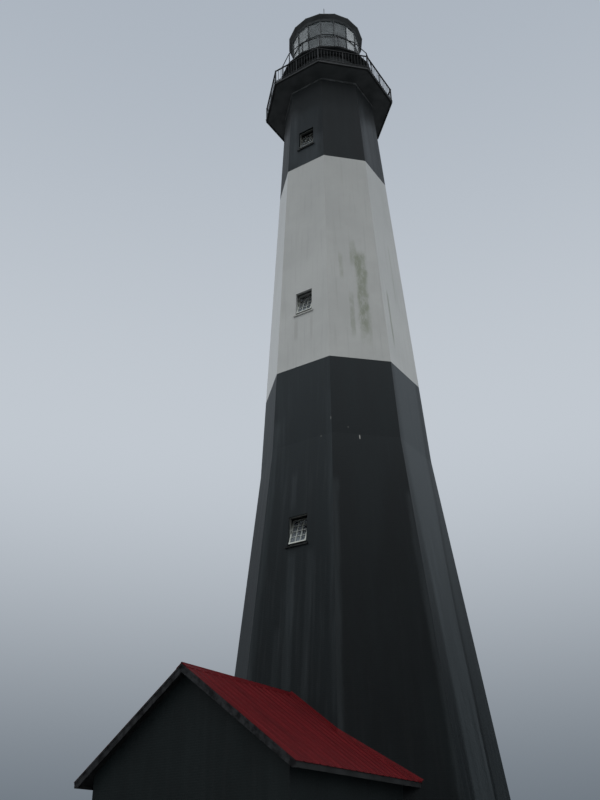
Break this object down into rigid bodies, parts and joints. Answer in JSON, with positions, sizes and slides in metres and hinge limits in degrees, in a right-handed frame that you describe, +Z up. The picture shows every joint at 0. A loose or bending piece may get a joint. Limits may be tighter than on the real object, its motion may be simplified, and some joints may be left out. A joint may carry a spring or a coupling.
{
  "type": "lighthouse, half-size model",
  "caption": "Tapering eight-sided brick lighthouse with black and white bands, gallery, glazed lantern and gabled annex, as a half-size model.",
  "frame": {"origin": "on the tower's axis at ground level, on the underside of the well's floor", "axes": "+Z up; -Y out through the annex and its entrance door; +X to the right of the annex"},
  "size_m": [5.2476, 7.5918, 23.2484],
  "materials": {
    "black_render": "black limewashed render over brick, streaked grey",
    "white_render": "white limewashed render over brick, faint green streaks",
    "floor_stone": "worn flagstones",
    "sash_paint": "off-white paint, weathered",
    "window_glass": "old window glass",
    "black_iron": "black painted iron",
    "lantern_glass": "clear lantern plate glass",
    "roof_iron": "black painted sheet iron",
    "rod_metal": "dull grey metal",
    "red_roof": "dark red ribbed sheet",
    "black_wood": "dark grey painted boards"
  },
  "bodies": {
    "root": {"tower_lower_wall": "black_render", "tower_middle_wall": "white_render", "tower_upper_wall": "black_render", "tower_floor": "floor_stone", "neck_course": "white_render", "front_lower_sash": "sash_paint", "front_middle_sash": "sash_paint", "front_upper_sash": "sash_paint", "back_lower_sash": "sash_paint", "back_middle_sash": "sash_paint", "back_upper_sash": "sash_paint", "window_frames": "sash_paint", "window_glass": "window_glass", "window_sills": "black_render", "gallery_deck": "black_iron", "gallery_railing_1": "black_iron", "gallery_railing_2": "black_iron", "gallery_railing_3": "black_iron", "gallery_railing_4": "black_iron", "gallery_railing_5": "black_iron", "gallery_railing_6": "black_iron", "gallery_railing_7": "black_iron", "gallery_railing_8": "black_iron", "gallery_posts": "black_iron", "watch_room_wall": "black_iron", "watch_room_door": "black_iron", "lantern_deck": "black_iron", "lantern_railing": "black_iron", "lantern_sill": "black_iron", "lantern_frame": "black_iron", "lantern_lower_glass": "lantern_glass", "lantern_upper_glass": "lantern_glass", "lantern_roof": "roof_iron", "ventilator_ball": "roof_iron", "lightning_rod": "rod_metal", "annex_front_wall": "black_render", "annex_left_wall": "black_render", "annex_right_wall": "black_render", "annex_floor": "floor_stone", "annex_left_roof": "red_roof", "annex_right_roof": "red_roof", "annex_ridge_cap": "red_roof", "annex_barge_boards": "black_wood", "annex_left_fascia": "black_wood", "annex_right_fascia": "black_wood", "entrance_door_frame": "black_wood", "entrance_door": "black_wood"}
  },
  "joints": []
}
